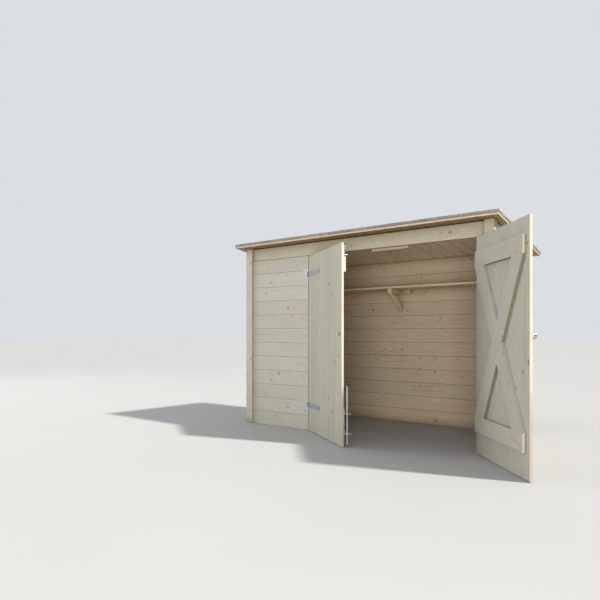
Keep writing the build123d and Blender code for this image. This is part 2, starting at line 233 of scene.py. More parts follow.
def carried(outline, stops, corner, path, across, inward, ease=0.0):
    """Rings of an outline carried straight along a path: corner + stop*path + a*across + b*inward.

    With an ease, both ends begin with the outline drawn in by it, so that their edges are broken.
    """
    start, end = stops
    if ease:
        small = drawn_in(outline, ease)
        outlines = np.stack([small, outline, outline, small])
        steps = np.array([start, start + ease, end - ease, end])
    else:
        outlines = np.stack([outline, outline])
        steps = np.array([start, end])
    offsets = outlines[..., :1] * np.asarray(across) + outlines[..., 1:] * np.asarray(inward)
    return np.asarray(corner) + steps[:, None, None] * np.asarray(path) + offsets


def shell_faces(points, rings):
    """Faces of a shell of rings, looking outwards: four-sided ones between rings, and one to close each end.

    The sum over all triangles of a . (b x c) is above zero when they look outwards.
    """
    index = np.arange(len(points)).reshape(rings, -1)
    here, after = index[:-1], index[1:]
    quads = np.stack([here, np.roll(here, -1, 1), np.roll(after, -1, 1), after], -1).reshape(-1, 4)
    caps = [index[0][::-1], index[-1]]
    fans = [np.stack([np.full(len(cap) - 2, cap[0]), cap[1:-1], cap[2:]], -1) for cap in caps]
    triangles = np.concatenate([quads[:, :3], quads[:, [0, 2, 3]], *fans])
    offset = points - points.mean(0)
    a, b, c = (offset[triangles[:, k]] for k in range(3))
    if (a * np.cross(b, c)).sum() < 0:
        quads, caps = quads[:, ::-1], [cap[::-1] for cap in caps]
    return quads, caps


class Joinery:
    """Closed pieces of timber gathered into one mesh, with the values that their finish reads.

    grain is (along, across, depth) from the tree's heart, tone is one number for each piece,
    and joint is 1 in the joints.
    """

    def __init__(self, place, seed):
        self.place = place
        self.chance = np.random.default_rng(seed)
        self.values = {"grain": [], "tone": [], "joint": []}
        self.points, self.faces, self.kinds = [], [], []
        self.total = 0

    def add(self, rings, along, across, joint=None, end_kind=0, side_kinds=0, bend=None):
        """One piece: rings of points in the place's frame, and its length and width directions.

        The kinds number the finishes of the end faces and of the faces round the piece.
        """
        count, points_round = rings.shape[:2]
        flat = rings.reshape(-1, 3)
        along = np.asarray(along, float)
        across = np.asarray(across, float)
        through = np.cross(along, across)
        heart_side = self.chance.uniform(-0.035, 0.035)
        heart_depth = self.chance.uniform(0.012, 0.05) * self.chance.choice([-1, 1])
        start = self.chance.uniform(0, 40)
        offset = flat - (flat.min(0) + flat.max(0)) / 2
        grain = [offset @ along + start, offset @ across + heart_side, offset @ through + heart_depth]
        if bend is not None:
            flat = bend(flat)
        quads, caps = shell_faces(flat, count)
        self.points.append(self.place.to_store(flat))
        self.values["grain"].append(np.stack(grain, -1))
        self.values["tone"].append(np.full(len(flat), self.chance.uniform()))
        self.values["joint"].append(np.tile(np.zeros(points_round) if joint is None else joint, count))
        self.faces += (quads + self.total).tolist() + [(cap + self.total).tolist() for cap in caps]
        kinds = np.array(np.broadcast_to(side_kinds, (count - 1, points_round)))
        if end_kind and count > 2:
            kinds[[0, -1]] = end_kind
        self.kinds += kinds.ravel().tolist() + [end_kind, end_kind]
        self.total += len(flat)

    def bar(
        self, low, high, path, across, inward, ease, broken=0.0, wide=None, faces=(), inner=False, **more
    ):
        """A straight bar that fills a box: an eased rectangle carried along path.

        broken is the ease of its ends, and wide its grain's width direction where that isn't across.
        faces pairs faces with kinds. With inner, joint is 1 on the near half of its depth, where a ledge end
        takes painted shadow.
        """
        span = high - low
        outline = eased(span @ across, span @ inward, ease)
        corner = low - (low @ path) * path
        rings = carried(outline, (low @ path, high @ path), corner, path, across, inward, broken)
        kinds = np.zeros(len(outline), int)
        for face, kind in faces:
            kinds[face] = kind
        near = (outline[:, 1] < span @ inward / 2) * 1.0 if inner else None
        self.add(rings, path, across if wide is None else wide, near, side_kinds=kinds, **more)

    def boards(self, lines, low, high, path, across, inward, joint, strength=1.0):
        """Matchboards side by side between lines, the outermost edges left square.

        The joint is (ease, gap, slot, back ease), as course takes them, and strength what its values say.
        """
        stops = (low @ path, high @ path)
        corner = (low @ inward) * inward
        for start, end in zip(lines[:-1], lines[1:]):
            plain = (start == lines[0], end == lines[-1])
            outline, share, sides = course(end - start, (high - low) @ inward, *joint, plain)
            rings = carried(outline, stops, corner + start * across, path, across, inward)
            self.add(rings, path, across, share * strength, end_kind=1, side_kinds=sides)

    def finish(self, name, slot, finishes, *nodes):
        """Makes the mesh an object on the place's body, in place of the CAD nodes named."""
        mesh = new_mesh(name, np.concatenate(self.points), self.faces)
        for key, values in self.values.items():
            values = np.concatenate(values).astype(np.float32)
            kind, field = ("FLOAT_VECTOR", "vector") if values.ndim == 2 else ("FLOAT", "value")
            mesh.attributes.new(key, kind, "POINT").data.foreach_set(field, values.ravel())
        mesh.polygons.foreach_set("material_index", self.kinds)
        show(mesh, name, self.place.body, slot, finishes, *nodes)


def new_mesh(name, points, faces):
    mesh = bpy.data.meshes.new(name)
    mesh.from_pydata(points.tolist(), [], faces)
    if mesh.validate():
        raise RuntimeError(f"{name} has broken faces")
    return mesh


def show(mesh, name, body, slot, finishes, *nodes):
    """Makes an object of a mesh, on a body, in place of the CAD nodes named."""
    piece = bpy.data.objects.new(name, mesh)
    bpy.context.scene.collection.objects.link(piece)
    for finish in finishes:
        mesh.materials.append(finish)
    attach(piece, body)
    if nodes:
        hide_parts(*nodes)
    return piece


def dress(node, finish):
    """Gives a CAD node that stays in view its finish."""
    piece = frame["nodes"][node]
    if not piece.material_slots:
        piece.data.materials.append(finish)
    for material_slot in piece.material_slots:
        material_slot.material = finish


def heads(name, finish, place, centres, outwards, radius, height, nail=False):
    """Fastener heads: rings about each outward line, each at its share of the radius and of the height.

    The lowest ring is below the surface. A screw's head has a cross sunk into its middle.
    """
    shares = np.array([1.0, 1.0, 0.86, 0.6, 0.34, 0.14])
    lifts = np.array([-0.4, 0.25, 0.62, 0.86, 0.97, 1.0])
    points_round = 8 if nail else 16
    angle = np.linspace(0, 2 * math.pi, points_round, endpoint=False)
    lift = np.repeat(lifts[:, None], points_round, 1)
    if not nail:
        sunk = 0.75
        lift[3:5, np.cos(4 * angle) > 0.2] -= sunk
        lift[5] -= sunk
    turned = np.stack([np.cos(angle), np.sin(angle)], -1)
    out = np.asarray(outwards, float)
    side = np.cross(out, Z)
    side /= np.linalg.norm(side)
    up = np.cross(side, out)
    disc = radius * shares[:, None, None] * (turned[:, :1] * side + turned[:, 1:] * up)
    form = (disc + height * lift[..., None] * out).reshape(-1, 3)
    quads, caps = shell_faces(form, len(shares))
    centres = np.asarray(centres, float)
    steps = np.arange(len(centres))[:, None] * len(form)
    faces = (steps[..., None] + quads).reshape(-1, 4).tolist()
    for cap in caps:
        faces += (steps + cap).tolist()
    mesh = new_mesh(name, place.to_store((centres[:, None] + form).reshape(-1, 3)), faces)
    mesh.polygons.foreach_set("use_smooth", [len(face) == 4 for face in faces])
    show(mesh, name, place.body, "galvanised_steel", [finish])


# Finishes


class Nodes:
    """Short calls for the nodes of a finish or of the studio."""

    def __init__(self, tree):
        self.tree = tree

    def put(self, socket, value):
        if isinstance(value, bpy.types.NodeSocket):
            self.tree.links.new(value, socket)
        elif socket.type == "RGBA":
            socket.default_value = (*value[:3], 1.0)
        else:
            socket.default_value = value

    def node(self, kind, inputs=None, **settings):
        made = self.tree.nodes.new("ShaderNode" + kind)
        for key, value in settings.items():
            setattr(made, key, value)
        for key, value in (inputs or {}).items():
            self.put(made.inputs[key], value)
        return made

    def math(self, operation, *values, clamp=False):
        return self.node("Math", dict(enumerate(values)), operation=operation, use_clamp=clamp).outputs[0]

    def spread(self, value, low, high, to_low=0.0, to_high=1.0, smooth=True):
        """Value taken from one range to another, eased at both ends."""
        kind = "SMOOTHSTEP" if smooth else "LINEAR"
        inputs = {"Value": value, "From Min": low, "From Max": high, "To Min": to_low, "To Max": to_high}
        return self.node("MapRange", inputs, interpolation_type=kind).outputs[0]


class Finish(Nodes):
    """A material whose pattern lies on Object coordinates or on the values of a mesh."""

    def __init__(self, name):
        self.material = bpy.data.materials.new(name)
        self.material.use_nodes = True
        super().__init__(self.material.node_tree)
        self.tree.nodes.clear()
        self.shader = self.node("BsdfPrincipled")
        self.put(self.node("OutputMaterial").inputs[0], self.shader.outputs[0])
        self.seen = self.node("TexCoord").outputs["Object"]

    def attribute(self, name, output="Fac"):
        return self.node("Attribute", attribute_name=name).outputs[output]

    def vector(self, operation, *values):
        made = self.node("VectorMath", dict(enumerate(values)), operation=operation)
        return made.outputs["Value" if operation == "LENGTH" else "Vector"]

    def mix(self, share, one, other, blend_type="MIX"):
        made = self.node("Mix", {0: share}, data_type="RGBA", blend_type=blend_type)
        self.put(made.inputs[6], one)
        self.put(made.inputs[7], other)
        return made.outputs[2]

    def laid(self, colour, tint, value, low, high, to_low=0.0, to_high=1.0):
        """Colour under a tint, whose share is value taken from one range to another."""
        return self.mix(self.spread(value, low, high, to_low, to_high), colour, tint)

    def times(self, colour, tint):
        return self.mix(1.0, colour, tint, blend_type="MULTIPLY")

    def shaded(self, colour, level):
        return self.node("HueSaturation", {"Value": level, "Color": colour}).outputs[0]

    def noise(self, vector, stretch, detail=2.0, roughness=0.5):
        """Noise with its own scale along each direction, or with one, from about 0 to 1."""
        place = self.vector("MULTIPLY", vector, np.broadcast_to(stretch, 3).tolist())
        inputs = {"Vector": place, "Scale": 1.0, "Detail": detail, "Roughness": roughness}
        return self.node("TexNoise", inputs).outputs["Fac"]

    def crystals(self, scale):
        """Cells on Object coordinates: the outputs of their texture, and three draws for each cell."""
        cells = self.node("TexVoronoi", {"Vector": self.seen, "Scale": scale}).outputs
        return cells, self.node("SeparateColor", {0: cells["Color"]}).outputs

    def corner_shaded(self, colour, tint, reach):
        """Painted shade: colour taken towards a tint in corners, by the share of a half sphere that near
        pieces hide.
        """
        clear = self.node("AmbientOcclusion", {"Distance": reach}, samples=6).outputs["AO"]
        share = self.spread(clear, 0.35, 0.95, 1.0, 0.0, smooth=False)
        return self.mix(share, colour, self.times(colour, tint))

    def done(self, colour, roughness, relief=None, distance=0.0, strength=1.0, specular=0.5, metallic=0.0):
        """Gives the shader its inputs, with a relief of some distance, and returns the material."""
        if relief is not None:
            inputs = {"Height": relief, "Distance": distance, "Strength": strength}
            self.put(self.shader.inputs["Normal"], self.node("Bump", inputs).outputs[0])
        for key, value in (
            ("Base Color", colour),
            ("Roughness", roughness),
            ("Specular IOR Level", specular),
            ("Metallic", metallic),
        ):
            self.put(self.shader.inputs[key], value)
        return self.material


def timber(
    name,
    tints,
    knots=(),
    stray=0.25,
    ring=0.02,
    contrast=0.62,
    level=1.0,
    bold=1.0,
    streak=0.55,
    bands=0.3,
    stain=None,
    cad=False,
    hollow=(0.5, 0.4, 0.26),
    reach=0.09,
):
    """Planed softwood cut from round rings.

    The distance from the tree's heart grows along the board by the tree's taper and a slow noise, so
    that rings come out as nested arrowheads, then is counted in rings of a width. Each ring darkens
    outwards. Knots push the rings aside: those at given places (x, y, z, radius, squeeze), and in the
    share stray of cells along the grain one of a random radius. bold, streak and bands are the strengths
    of the arrowheads, the fibres and the broad bands. A tint of painted shade (half width, front, back,
    tint) darkens what lies outside a box. A tint of painted shade darkens corners within reach. A CAD
    node has no values of its own, so cad reads its grain from Object coordinates.
    """
    early, late, joint_tint = tints
    finish = Finish(name)
    calc, vector, noise, spread = finish.math, finish.vector, finish.noise, finish.spread
    if cad:
        grain, tone = vector("ADD", finish.seen, (3.0, 0.02, 0.06)), 0.5
    else:
        grain, tone = finish.attribute("grain", "Vector"), finish.attribute("tone")

    def waver(stretch, *more):
        return calc("SUBTRACT", noise(grain, stretch, *more), 0.5)

    parts = finish.node("SeparateXYZ", {0: grain}).outputs
    cell = (0.42, 0.11, 0.11)
    places = vector("DIVIDE", grain, cell)
    cells = finish.node("TexVoronoi", {"Vector": places, "Scale": 1.0}, voronoi_dimensions="2D").outputs
    gap = vector("SUBTRACT", places, cells["Position"])
    away = vector("LENGTH", vector("MULTIPLY", gap, (cell[0] * 0.8, cell[1], 0.0)))
    draws = finish.node("SeparateColor", {0: cells["Color"]}).outputs
    radius = spread(draws[0], 0, 1, 2.5 * MM, 7.0 * MM, smooth=False)
    radius = calc("MAXIMUM", calc("MULTIPLY", radius, calc("LESS_THAN", draws[1], stray)), 0.01 * MM)
    knot = calc("DIVIDE", away, radius)
    for x, y, z, size, squeeze in knots:
        offset = vector("SUBTRACT", finish.seen, (x, y, z))
        scaled = vector("MULTIPLY", offset, (1 / size, 1 / size, squeeze / size))
        knot = calc("MINIMUM", knot, vector("LENGTH", scaled))
    ragged = noise(grain, (140.0, 260.0, 260.0))
    knot = calc("MULTIPLY", knot, spread(ragged, 0.3, 0.7, 0.8, 1.25, smooth=False))

    side = calc("MULTIPLY_ADD", waver((2.7, 0.0, 5.0), 1.0), 0.06, parts[1])
    from_heart = calc("SQRT", calc("ADD", calc("POWER", side, 2.0), calc("POWER", parts[2], 2.0)))
    lean = calc("FRACT", calc("MULTIPLY", tone, 13.7))
    lean = calc("MULTIPLY_ADD", lean, 0.36 * bold, -0.18 * bold)
    bent = calc("MULTIPLY_ADD", parts[0], lean, from_heart)
    bent = calc("MULTIPLY_ADD", waver((2.6, 0.3, 0.3), 1.0, 0.4), 0.16 * bold, bent)
    bent = calc("MULTIPLY_ADD", waver((22.0, 18.0, 18.0), 1.0), 0.012, bent)
    rings = calc("DIVIDE", calc("ADD", bent, spread(knot, 0.6, 5.0, 9 * MM, 0.0)), ring)
    rings = calc("MULTIPLY_ADD", noise(grain, (30.0, 160.0, 160.0)), 0.2, rings)
    within = calc("FRACT", rings)
    dark = calc("MULTIPLY", calc("POWER", within, 2.6), spread(within, 0.88, 1.0, 1.0, 0.0))
    own = noise(finish.node("CombineXYZ", {0: rings}).outputs[0], 1.3, 0.0)
    dark = calc("MULTIPLY", dark, spread(own, 0.3, 0.65, 0.35, 1.3))

    fibre = noise(grain, (9.0, 330.0, 330.0))
    patch = noise(grain, (3.0, 14.0, 14.0), 3.0, 0.6)
    share = calc("MULTIPLY", calc("SUBTRACT", fibre, 0.5), streak)
    share = calc("MULTIPLY_ADD", dark, contrast, share)
    share = calc("MULTIPLY", share, spread(patch, 0.3, 0.7, 0.3, 1.35))
    share = calc("MULTIPLY_ADD", waver((1.2, 52.0, 52.0), 1.0), bands, share, clamp=True)
    warm = finish.mix(share, np.array(early) * (1.02, 0.98, 0.88), late)
    colour = finish.laid(finish.mix(share, early, late), warm, patch, 0.35, 0.75, 0.0, 0.5)
    colour = finish.laid(colour, np.array(late) * (0.86, 0.72, 0.5), knot, 0.9, 2.2, 0.75, 0.0)
    colour = finish.laid(colour, np.array(late) * (0.74, 0.6, 0.36), knot, 0.3, 0.9, 0.9, 0.0)
    shade = level if cad else spread(tone, 0.0, 1.0, 0.97 * level, 1.03 * level, smooth=False)
    colour = finish.shaded(colour, shade)
    # Painted shade: what lies outside the box is darkened by the tint
    if stain:
        half_width, front, back, tint = stain
        spot = finish.node("SeparateXYZ", {0: finish.seen}).outputs
        beyond = calc("SUBTRACT", calc("ABSOLUTE", spot[0]), half_width)
        beyond = calc("MAXIMUM", beyond, calc("SUBTRACT", front, spot[1]))
        beyond = calc("MAXIMUM", beyond, calc("SUBTRACT", spot[1], back))
        colour = finish.laid(colour, finish.times(colour, tint), beyond, -2 * MM, 2 * MM)
    if not cad:
        colour = finish.mix(calc("MULTIPLY", finish.attribute("joint"), 0.85), colour, joint_tint)
    # Painted shade: corners darkened by a tint as far as near pieces hide the sky
    if hollow:
        colour = finish.corner_shaded(colour, hollow, reach)
    roughness = spread(share, 0.0, 1.0, 0.68, 0.56, smooth=False)
    relief = calc("MULTIPLY_ADD", fibre, 0.5, calc("MULTIPLY", dark, 0.6))
    return finish.done(colour, roughness, relief, 0.35 * MM, 0.6, specular=0.25)


def sawn(name, colour, warmth=0.12, hollow=(0.62, 0.52, 0.38), inner=None, foot_shadow=None):
    """Sawn edge or end of a softwood board: an even tint under the marks of the saw teeth.

    A tint of painted shade darkens corners. An inner tint, a painted shadow, takes over where joint is above
    a half.
    A painted foot shadow (low, high, tint) darkens the foot: fully below low, and no more from high upwards.
    """
    finish = Finish(name)
    cloud = finish.noise(finish.seen, 9.0, 3.0)
    marks = finish.noise(finish.seen, 520.0)
    base = np.array(colour)
    tint = finish.laid(base, base * (1 - warmth / 2, 1 - warmth, 1 - 1.6 * warmth), cloud, 0.25, 0.75)
    tint = finish.laid(tint, base * 0.82, marks, 0.35, 0.75, 0.0, 0.3)
    # Painted shadow on the half of an end where joint is above a half
    if inner:
        tint = finish.laid(tint, inner, finish.attribute("joint"), 0.42, 0.58)
    # Painted shadow: darker towards the foot
    if foot_shadow:
        low, high, foot_shadow_tint = foot_shadow
        height = finish.node("SeparateXYZ", {0: finish.seen}).outputs[2]
        tint = finish.laid(tint, finish.times(tint, foot_shadow_tint), height, low, high, 1.0, 0.0)
    # Painted shade: corners darkened by a tint as far as near pieces hide the sky
    if hollow:
        tint = finish.corner_shaded(tint, hollow, 0.09)
    roughness = finish.spread(marks, 0.2, 0.8, 0.66, 0.8)
    return finish.done(tint, roughness, marks, 0.3 * MM, 0.5, specular=0.2)


def mineral_felt(name, grey):
    """Roofing felt: packed granules of three greys over slow patches, each granule standing proud."""
    finish = Finish(name)
    grains, draws = finish.crystals(620.0)
    clumps = finish.noise(finish.seen, 85.0, 3.0, 0.65)
    patches = finish.noise(finish.seen, (4.5, 9.0, 9.0), 3.0)
    base = np.array(grey)
    colour = finish.mix(draws[0], base * 0.45, base * 1.55)
    colour = finish.laid(colour, base * (1.52, 1.5, 1.5), clumps, 0.35, 0.7, 0.0, 0.85)
    colour = finish.laid(colour, base * (0.5, 0.5, 0.55), clumps, 0.5, 0.25, 0.0, 0.8)
    colour = finish.mix(finish.math("GREATER_THAN", draws[1], 0.93), colour, base * (1.75, 1.5, 1.42))
    colour = finish.shaded(colour, finish.spread(patches, 0.25, 0.75, 0.86, 1.14))
    height = finish.math("MULTIPLY_ADD", grains["Distance"], -1.2, finish.math("MULTIPLY", clumps, 1.5))
    return finish.done(colour, 0.92, height, 0.8 * MM, 0.8, specular=0.2)


def zinc(name, colour, metallic, roughness):
    """Hot-dip zinc: flat crystals a finger wide, each of its own grey, under fine scuffs."""
    finish = Finish(name)
    _, draws = finish.crystals(130.0)
    cloud = finish.noise(finish.seen, 45.0, 3.0)
    base = np.array(colour)
    tint = finish.mix(draws[0], base * 0.9, base * 1.08)
    tint = finish.laid(tint, base * (0.86, 0.88, 0.92), cloud, 0.3, 0.7, 0.0, 0.35)
    dull = finish.spread(cloud, 0.2, 0.8, roughness - 0.06, roughness + 0.1)
    scuffs = finish.math("MULTIPLY_ADD", finish.noise(finish.seen, 900.0), 0.4, draws[1])
    return finish.done(tint, dull, scuffs, 0.08 * MM, 0.5, metallic=metallic)


def satin(name, colour):
    """Turned knob metal: even tint with fine rings left by the lathe, seen as a low relief."""
    finish = Finish(name)
    cloud = finish.noise(finish.seen, 60.0)
    lathe = finish.noise(finish.seen, (300.0, 300.0, 2600.0))
    tint = finish.mix(cloud, np.array(colour) * 0.92, np.array(colour) * 1.06)
    return finish.done(tint, finish.spread(cloud, 0.2, 0.8, 0.26, 0.38), lathe, 0.05 * MM, 0.4, metallic=1.0)


def pale_floor(name, colour):
    """Plain matt floor with a slow, faint cloud."""
    finish = Finish(name)
    cloud = finish.noise(finish.seen, 0.7, 3.0)
    return finish.done(finish.mix(cloud, np.array(colour) * 0.97, np.array(colour) * 1.03), 0.8)


# What a user may change


def factor(label, text, default, **settings):
    return bpy.props.FloatProperty(name=label, description=text, default=default, **settings)


def length(label, text, default):
    return factor(label, text, default, unit="LENGTH", precision=4)


def angle(label, text, degrees):
    return factor(label, text, math.radians(degrees), subtype="ANGLE", unit="ROTATION")


def colour(label, text, default):
    return bpy.props.FloatVectorProperty(
        name=label, description=text, default=default, subtype="COLOR", size=3, min=0, max=1
    )


class StoreSizes(bpy.types.PropertyGroup):
    """Sizes of the boards and their joints."""

    cover: length("Course", "Height that one wall board covers", 124 * MM)
    joint_ease: length("Joint slope", "Sloped-off edge of a wall board", 2.0 * MM)
    joint_gap: length("Joint slot", "Half the slot at the bottom of a wall joint", 0.5 * MM)
    joint_slot: length("Joint slot depth", "Depth of the slot behind the slopes", 5 * MM)
    joint_back: length("Joint slope inside", "Sloped-off edge of a wall board's inner side", 1.8 * MM)
    arris: length("Broken edge", "Rounding of the edges of trims and shelf pieces", 1.8 * MM)
    ledge_arris: length("Ledge edge", "Rounding of the edges of the ledges", 1.2 * MM)
    leaf_boards: bpy.props.IntProperty(name="Leaf boards", description="Upright boards of a leaf", default=6)
    left_reach: length("Left ledges", "Growth of the left leaf's top ledge towards its free edge", 19 * MM)
    right_reach: length("Right ledges", "Growth of the right leaf's ledges towards its free edge", -20 * MM)
    ledge_growth: length("Ledge growth", "Growth of the right leaf's ledges away from the leaf", 6 * MM)
    left_growth: length("Left ledge growth", "Growth of the left leaf's top ledge away from the leaf", 4 * MM)
    leaf_ease: length("Leaf joint slope", "Sloped-off edge of a leaf board", 1.5 * MM)
    roof_cover: length("Roof board", "Width that one roof board covers", 97.5 * MM)
    roof_ease: length("Roof joint slope", "Sloped-off edge of a roof board's underside", 3.2 * MM)
    roof_joint: length("Roof joint", "Place of one roof joint along the front", 833 * MM)
    roof_fall: factor("Fall", "Drop of the roof for each unit of depth", 0.12)
    left_open: angle("Left leaf", "Opening of the left leaf at rest", 34.8)
    right_open: angle("Right leaf", "Opening of the right leaf at rest", 131.0)


class StoreColours(bpy.types.PropertyGroup):
    """Colours of the finishes."""

    early: colour("Wood", "Light wood of the outside boards", (0.52, 0.505, 0.452))
    late: colour("Rings", "Dark side of the rings outside", (0.43, 0.375, 0.235))
    joint: colour("Joints", "Inside of the joints outside", (0.47, 0.425, 0.29))
    header: colour("Header", "Light wood of the board over the doorway", (0.56, 0.52, 0.42))
    # Painted shade: dark brown for the shade under the header
    stained: colour("Header foot", "Underside of the board over the doorway", (0.36, 0.24, 0.13))
    # Painted shade: a near-black strip where there is only shade over the header
    eaves_gap_shade: colour("Eaves gap shade", "Strip that closes the gap over the header", (0.03, 0.025, 0.02))
    # Partly painted shade: a warmer copy of the corner wood for the right side
    warm: colour("Warm wood", "Light wood of the corner boards on the right", (0.54, 0.48, 0.36))
    leaf_early: colour("Leaf wood", "Light wood of the leaves", (0.418, 0.407, 0.358))
    leaf_late: colour("Leaf rings", "Dark side of the rings of the leaves", (0.345, 0.31, 0.215))
    # Painted shade and light on ledges and braces: dark lower edges and ledge faces, lighter upper edges,
    # dark undersides
    edge: colour("Sawn edges", "Lower long edges of ledges and braces", (0.255, 0.242, 0.157))
    lit_upper_edge: colour("Upper edges", "Upper long edges of braces", (0.38, 0.397, 0.315))
    underside: colour("Ledge underside", "Lower edge of the ledges", (0.2, 0.13, 0.08))
    # Painted shadow: the half of a ledge end beside the leaf
    inner_end_shadow: colour("Inner ends", "Half of a ledge end beside the leaf", (0.36, 0.35, 0.27))
    trim_edge: colour("Corner board edges", "Long edges of the corner boards", (0.5, 0.45, 0.31))
    end: colour("Fresh ends", "Ends of boards and the leaves' upright edges", (0.79, 0.68, 0.56))
    # Painted shade on the roof overhang: darkens the roof boards outside the walls
    eaves_shade: colour("Eaves", "Tint of the roof boards outside the walls", (0.42, 0.35, 0.27))
    # Partly the fresher wood under cover, partly painted light: lighter and warmer than the outside boards to
    # lift the shade inside
    sheltered_lit: colour("Sheltered wood", "Light wood under the roof and inside", (0.64, 0.535, 0.4))
    sheltered_late: colour("Sheltered rings", "Dark side of the rings inside", (0.42, 0.27, 0.13))
    sheltered_joint: colour("Sheltered joints", "Inside of the joints inside", (0.16, 0.1, 0.05))
    felt: colour("Felt", "Middle grey of the roofing felt", (0.26, 0.25, 0.245))
    zinc: colour("Zinc", "Hinges and bolts", (0.6, 0.63, 0.66))
    satin: colour("Knobs", "Knob metal", (0.6, 0.6, 0.6))
    floor: colour("Floor", "Studio floor", (0.37, 0.37, 0.37))
    sky: colour("Studio light", "Colour of the light all round", (0.93, 0.96, 1.0))


class StoreLight(bpy.types.PropertyGroup):
    """Studio light."""

    all_round: factor("All round", "Strength of the light all round", 0.2)
    overhead: factor("Overhead", "Strength of the light from above", 0.9)
    backdrop: factor("Backdrop", "Brightness behind the store", 0.76)
    screen: factor("Screen", "Share of the light that the right screen takes", 0.8)
    key: factor("Key", "Strength of the key light", 5.35)
    fill: factor("Front fill", "Power of the softbox beside the camera", 38.5)
    side_fill: factor("Side fill", "Power of the softbox on the left", 176.0)
    beam: angle("Softbox beam", "Spread of the light of both softboxes", 90.0)
    key_softness: angle("Key softness", "Width of the key light as seen from the store", 3.0)
    key_height: angle("Key height", "Height of the key light above the floor", 48.0)
    key_bearing: angle("Key bearing", "Turn of the key light from the right towards the back", 16.0)


def chosen(context):
    """The sizes and the colours that hold in a scene."""
    return context.scene.store_sizes, context.scene.store_colours


# Operators


def outside_wood(tints, name, knots=(), stray=0.12, **looks):
    return timber(name, (tints.early, tints.late, tints.joint), knots, stray, **looks)


def leaf_wood(tints, name, knots=(), stray=0.1, **looks):
    return timber(name, (tints.leaf_early, tints.leaf_late, tints.joint), knots, stray, **looks)


# Wood inside: partly its own fresher colour, partly painted light
def inside_wood(tints, name, stray=0.3, **looks):
    shades = (tints.sheltered_lit, tints.sheltered_late, tints.sheltered_joint)
    return timber(name, shades, (), stray, **looks)


class STORE_OT_walls(bpy.types.Operator):
    """Lay the courses of the four walls and the board over the doorway"""

    bl_idname = "store.walls"
    bl_label = "Walls"

    def lay(self, sizes, node, name, seed, finishes, run, inward, roofed):
        """Courses of one wall, carried along run. The highest is cut to the wall's top or to the roof."""
        low, high = STORE.extent(node)
        outer = np.where(inward < 0, high, low) * np.abs(inward)
        lines = np.append(np.arange(round(high[2] / sizes.cover)) * sizes.cover, high[2])
        joint = (sizes.joint_ease, sizes.joint_gap, sizes.joint_slot, sizes.joint_back)

        def cut(points):
            foot, top = lines[-2:]
            share = (points[:, 2] - foot) / (top - foot)
            under = soffit(points[:, 1], sizes) - HAIR
            return np.stack([points[:, 0], points[:, 1], foot + share * (under - foot)], -1)

        work = Joinery(STORE, seed)
        for foot, top in zip(lines[:-1], lines[1:]):
            outline, share, _ = course(top - foot, min(high[:2] - low[:2]), *joint)
            rings = carried(outline, (low @ run, high @ run), outer + foot * Z, run, Z, inward)
            faces = np.isin(np.arange(len(outline)), INNER_FACES) * 1
            bend = cut if roofed and top == lines[-1] else None
            work.add(rings, run, Z, share, side_kinds=faces, bend=bend)
        work.finish(name, "wall_boards", finishes, node)

    def execute(self, context):
        sizes, tints = chosen(context)
        outside = outside_wood(tints, "wall boards outside", WALL_KNOTS, hollow=None)
        plain = outside_wood(tints, "wall boards at the ends", stray=0.3, hollow=None)
        inside = inside_wood(tints, "wall boards inside", stray=0.35, level=0.98, contrast=0.44)
        for node, name, seed, outer, run, inward, roofed in (
            ("front_wall_left", "front_courses_left", 11, outside, X, Y, False),
            ("front_wall_right", "front_courses_right", 11, outside, X, Y, False),
            ("side_wall_left", "side_courses_left", 21, plain, Y, X, True),
            ("side_wall_right", "side_courses_right", 22, plain, Y, -X, True),
            ("back_wall", "back_courses", 31, plain, X, -Y, True),
        ):
            self.lay(sizes, node, name, seed, [outer, inside], run, inward, roofed)
        low, high = STORE.extent("header_board")
        work = Joinery(STORE, 8)
        foot_faces = [(face, 1) for face in (NEAR_FACE, *NEAR_ROUNDS)]
        header_ease = 3.5 * MM
        work.bar(low, high, X, Z, Y, header_ease, faces=foot_faces)
        shades = (tints.header, tints.late, tints.joint)
        # The header's painted corner shade reaches further, for the shade under the roof overhang
        header = timber("header wood", shades, HEADER_KNOTS, 0.0, contrast=0.7, level=0.97, reach=0.16)
        # Painted shade: the header's lower faces take a dark brown for the shade under it
        foot = sawn("header foot", tints.stained)
        work.finish("header_plank", "wall_boards", [header, foot], "header_board")
        # Painted shade: a near-black strip fills the gap over the header, standing in for the shade there
        strip = Joinery(STORE, 6)
        set_back = 4 * MM
        front, back, top = low[1] + set_back, high[1], high[2]
        outline = [(front, top), (back, top), (back, soffit(back, sizes)), (front, soffit(front, sizes))]
        strip.add(carried(np.array(outline), (low[0], high[0]), (0, 0, 0), X, Y, Z), X, Y)
        strip.finish("header_shade_strip", "roof_felt", [sawn("bitumen strip", tints.eaves_gap_shade)])
        return {"FINISHED"}


